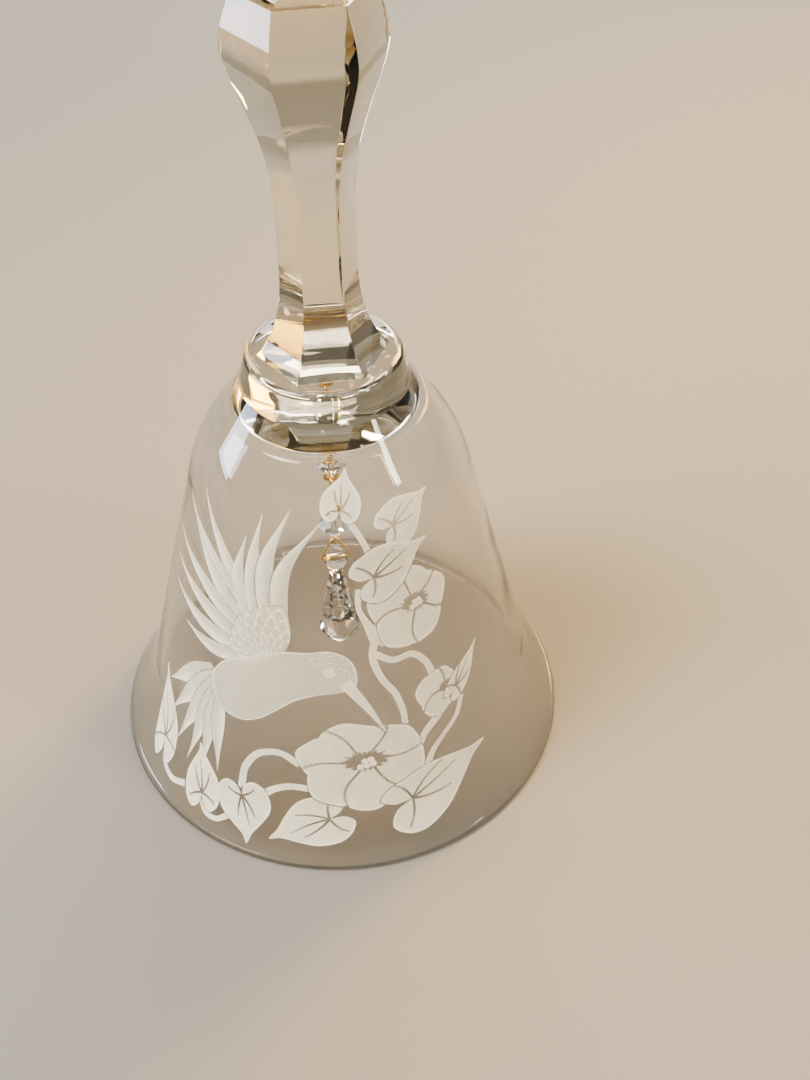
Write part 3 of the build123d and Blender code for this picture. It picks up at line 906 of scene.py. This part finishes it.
# %% Stems
def stem(places, thick=0.62, end=0.75):
    """A stem through a few wall places."""
    return blade(places, [(thick,) * 2, (thick * 0.9,) * 2, (end,) * 2], plain_frost, 0, rows=40, columns=5)


stems = [
    stem([(5.6, 76.5), (9.4, 73.5), (12.2, 70.2), (13, 66)]),
    stem([(24.2, 72.5), (22.6, 70.5), (21, 69)]),
    stem([(7.6, 62.5), (7, 58.5), (9.6, 54.8), (12, 51.5)], end=1.3),
    stem([(12, 52), (10.3, 47.5), (12.5, 42.5), (16.5, 38), (18.2, 33.5), (18.4, 30.5)], 0.75, 0.6),
    stem([(11.4, 48), (17, 45.8), (23.5, 45.8), (28, 43), (30, 39)], 0.7),
    stem([(32.5, 31), (29, 29), (24.5, 26.8), (21.5, 23.6)], 0.9, 0.6),
    stem([(39, 30.5), (36, 27), (30, 24), (25.5, 21.2), (23.5, 18.5)], 0.6),
    stem([(-31.5, 13.5), (-30.5, 19.5), (-26, 23.8), (-20, 25), (-14, 23)], 0.8),
    stem([(-26, 12.3), (-22, 15.5), (-17, 17.2), (-11, 17.3)], 0.8),
    stem([(-43, 6.2), (-41, 4.2), (-37.5, 3.9), (-34, 6), (-31.5, 7.6)]),
    stem([(-62, 9.5), (-60, 6.5), (-55, 5), (-50, 6.4)]),
]
calyx = [
    blade([(12.5, 50), (15, 52.4), (18.5, 55)], [(1.2, 1.2), (2.1, 2.1), (3.4, 3.4)], plain_frost, 0),
    blade([(30, 29.8), (32.5, 31.4), (35, 33.6)], [(0.6, 0.6), (1.3, 1.3), (1.6, 1.6)], plain_frost, 0),
]
for shape in stems + calyx:
    clear_under(shape, blossoms + leaves, hair=0.2)
print(f"{len(stems)} stems")

# %% [markdown]
# Sand-blasted crystal is matt white because its pitted skin scatters light. It hides what lies behind it
# where the pits are dense and lets it through where they are sparse, so the `frost` value sets how much is
# seen through. The grit is 0.1 mm across or less. It is drawn here at 0.25 mm, because finer grain
# would not show.

# %% Frosted crystal
GRIT = 0.25  # mm
DRIFT = 4.0  # mm across the slow patches of denser and thinner blasting
FROST, tree, shader = new_material("sand_blasted_crystal")
shader.inputs["Roughness"].default_value = 0.62
shader.inputs["IOR"].default_value = CRYSTAL_IOR
density = add(tree, "ShaderNodeAttribute", attribute_name="frost")
uneven = add(
    tree,
    "ShaderNodeMapRange",
    links={"Value": grain(tree, DRIFT)},
    settings={"From Min": 0.3, "From Max": 0.7, "To Min": 0.92, "To Max": 1.05},
)
cover = add(
    tree,
    "ShaderNodeMath",
    links={0: density.outputs["Fac"], 1: uneven.outputs["Result"]},
    operation="MULTIPLY",
    use_clamp=True,
)
tree.links.new(cover.outputs["Value"], shader.inputs["Alpha"])
grit = grain(tree, GRIT, Detail=2.0)
whites = add(tree, "ShaderNodeValToRGB", links={"Fac": grit})
whites.color_ramp.elements[0].position = 0.3
whites.color_ramp.elements[1].position = 0.7
whites.color_ramp.elements[0].color = colour("#F0E5CB")
whites.color_ramp.elements[1].color = colour("#FFF7E2")
tree.links.new(whites.outputs["Color"], shader.inputs["Base Color"])
emboss(tree, shader, grit, depth_mm=0.03, strength=0.35)
print("frost:", FROST.name)

# %% [markdown]
# The shapes are gathered into pieces, one for each part of the drawing, so that a piece can be shown,
# counted or given another finish by itself. All of them belong to the bowl and move with it.

# %% The drawing's pieces
design = {
    "frosted_near_wing": near_wing,
    "frosted_far_wing": far_wing,
    "frosted_coverts": [coverts],
    "frosted_tail": tail,
    "frosted_bird": [body, beak] + eye,
    "frosted_high_leaves": high_leaves,
    "frosted_low_leaves": low_leaves,
    "frosted_blossoms": blossoms + dots,
    "frosted_stems": stems + calyx,
}
for name, shapes in design.items():
    rings, frosts = zip(*(lay(shape) for shape in shapes))
    piece = skin(name, rings, "glass", FROST, values=frosts)
    print(f"{name}: {len(rings)} plates, {len(piece.data.polygons)} faces")

# %% [markdown]
# The stage is a plain pale floor, large enough that its far edge lies close to the horizon from every side.
# It is matt like paper, so that only the glass mirrors anything.

# %% Floor
FLOOR_SIZE = 12.0  # metres
reach = FLOOR_SIZE / 2
floor_corners = [(-reach, -reach, 0), (reach, -reach, 0), (reach, reach, 0), (-reach, reach, 0)]
floor_mesh = bpy.data.meshes.new("floor")
floor_mesh.from_pydata(floor_corners, [], [(0, 1, 2, 3)])
floor = bpy.data.objects.new("floor", floor_mesh)
bpy.context.scene.collection.objects.link(floor)
paper, tree, shader = new_material("matt_pale_paper")
shader.inputs["Base Color"].default_value = colour("#8F8980")
shader.inputs["Roughness"].default_value = 0.85
floor_mesh.materials.append(paper)
print(f"floor: {FLOOR_SIZE:.0f} m across")

# %% [markdown]
# Clear glass has no look of its own: it shows the room. An even white sky would leave it flat. So the sky
# is pale at the horizon and overhead, with a golden band between them that the facets pick up. Its colours
# follow the height of the direction that a ray leaves in, from 0 at the horizon to 1 straight up.

# %% Sky
SKY = [(0.02, "#DDD7CC"), (0.26, "#D3CCBE"), (0.45, "#B39A66"), (0.62, "#D8D3C8"), (0.98, "#F6F5F2")]
SKY_STRENGTH = 0.75
world = bpy.data.worlds.new("studio")
bpy.context.scene.world = world
world.use_nodes = True
sky = world.node_tree
direction = add(sky, "ShaderNodeTexCoord")
height = add(sky, "ShaderNodeSeparateXYZ", links={"Vector": direction.outputs["Generated"]})
walls = add(sky, "ShaderNodeValToRGB", links={"Fac": height.outputs["Z"]})
for position, tint in SKY:
    walls.color_ramp.elements.new(position).color = colour(tint)
walls.color_ramp.elements.remove(walls.color_ramp.elements[0])
walls.color_ramp.elements.remove(walls.color_ramp.elements[-1])
sky.links.new(walls.outputs["Color"], sky.nodes["Background"].inputs["Color"])
sky.nodes["Background"].inputs["Strength"].default_value = SKY_STRENGTH
print(f"sky: {len(walls.color_ramp.elements)} colours")

# %% [markdown]
# A wide soft sun lights the floor evenly. Rectangular lamps stand round the bell, because their mirror
# images are the highlights: a key beside the sun, a cool window to the left, a warm lamp behind to the
# right, a narrow strip that draws a streak on the shoulder, and a fill behind that lights the inside of
# the frost and the edges of the collar.

# %% Lamps
KEY_SIDE = (-0.55, -0.15, 0.75)  # where the key stands, in metres, and the way to the sun


def hold(lamp, name, tint, place, towards, front):
    """Puts a lamp in the scene at a place, with its axis `front` turned towards a direction."""
    lamp.color = colour(tint)[:3]
    holder = bpy.data.objects.new(name, lamp)
    holder.location = place
    holder.rotation_euler = Vector(towards).to_track_quat(front, "Y").to_euler()
    bpy.context.scene.collection.objects.link(holder)


def soft_sun(name, towards, strength, width, tint):
    """An even light over the whole floor, from a bright disc that is width degrees across."""
    lamp = bpy.data.lights.new(name, "SUN")
    lamp.energy = strength
    lamp.angle = math.radians(width)
    hold(lamp, name, tint, (0, 0, 0), towards, "Z")


def soft_box(name, place, aim, size, power, tint, spread=180):
    """A rectangular lamp in metres and watts that faces a point; spread is its beam's angle in degrees."""
    lamp = bpy.data.lights.new(name, "AREA")
    lamp.shape = "RECTANGLE"
    lamp.size, lamp.size_y = size
    lamp.energy = power
    lamp.spread = math.radians(spread)
    hold(lamp, name, tint, place, Vector(aim) - Vector(place), "-Z")


soft_sun("daylight", KEY_SIDE, 2.4, 30, "#FFFDF8")
soft_box("key", KEY_SIDE, (0, 0, 0.06), (0.25, 0.25), 3.4, "#FFFFFF")
soft_box("window", (-0.8, 0.25, 0.22), (0, 0, 0.08), (0.3, 0.3), 4, "#DCE8FF")
soft_box("warm", (0.5, 0.45, 0.4), (0, 0, 0.1), (0.25, 0.4), 1.6, "#FFCB66", spread=60)
soft_box("strip", (0.45, -0.35, 0.45), (0, 0, 0.05), (0.06, 0.5), 2.4, "#FFF4E4")
soft_box("fill", (0.2, 0.8, 0.45), (0, 0, 0.05), (0.5, 0.3), 5, "#FFF6EA")
print("lamps:", ", ".join(sorted(lamp.name for lamp in bpy.data.lights)))

# %% [markdown]
# The camera looks down at the bell from in front, a little to the left of a panel's middle. Its place is
# given in rim radii from the middle of the foot, so that it keeps its view if the bell's size changes.
# The view gets a little more contrast than usual, because white frost on pale glass needs it.

# %% Camera
bpy.context.scene.view_settings.look = "AgX - Medium High Contrast"
CAMERA_IN_RADII = np.array([-0.407, -4.031, 4.825])
LOOK_DOWN = 43.66  # degrees below level
HEADING = -10.0  # degrees from +Y, anticlockwise seen from above
ROLL = -0.45  # degrees
LENS = 43.83  # in mm, for a film 36 mm high
FILM = 36
camera = bpy.data.objects.new("camera", bpy.data.cameras.new("camera"))
camera.data.lens = LENS
camera.data.sensor_width = FILM
turn = Matrix.Rotation(math.radians(HEADING), 4, "Z") @ Matrix.Rotation(math.radians(90 - LOOK_DOWN), 4, "X")
roll = Matrix.Rotation(math.radians(ROLL), 4, "Z")
camera.matrix_world = Matrix.Translation(Vector(CAMERA_IN_RADII * RIM_RADIUS * MM)) @ turn @ roll
bpy.context.scene.collection.objects.link(camera)
bpy.context.scene.camera = camera
print(f"camera: {LOOK_DOWN:.1f} degrees down, {LENS:.1f} mm lens")

# %% [markdown]
# The clapper hangs in full view behind clear glass, and its loaded parts already have their true shape:
# bent wire, cut beads and a cut drop are plain solids. So they are shown as they are, and only get their
# finish. Each loaded part keeps its place, and moves with its own body by itself.

# %% Finish of the clapper's parts
for node, finish in {
    "eye_cement": CEMENT,
    "hanger_eye": GOLD_PLATE,
    "upper_link": GOLD_PLATE,
    "upper_pin": GOLD_PLATE,
    "upper_bead": BEAD_CRYSTAL,
    "middle_link": GOLD_PLATE,
    "lower_pin": GOLD_PLATE,
    "lower_bead": BEAD_CRYSTAL,
    "drop_clip": GOLD_PLATE,
    "drop": BEAD_CRYSTAL,
}.items():
    frame["nodes"][node].data.materials.clear()
    frame["nodes"][node].data.materials.append(finish)
    print(f"{node}: {finish.name}")
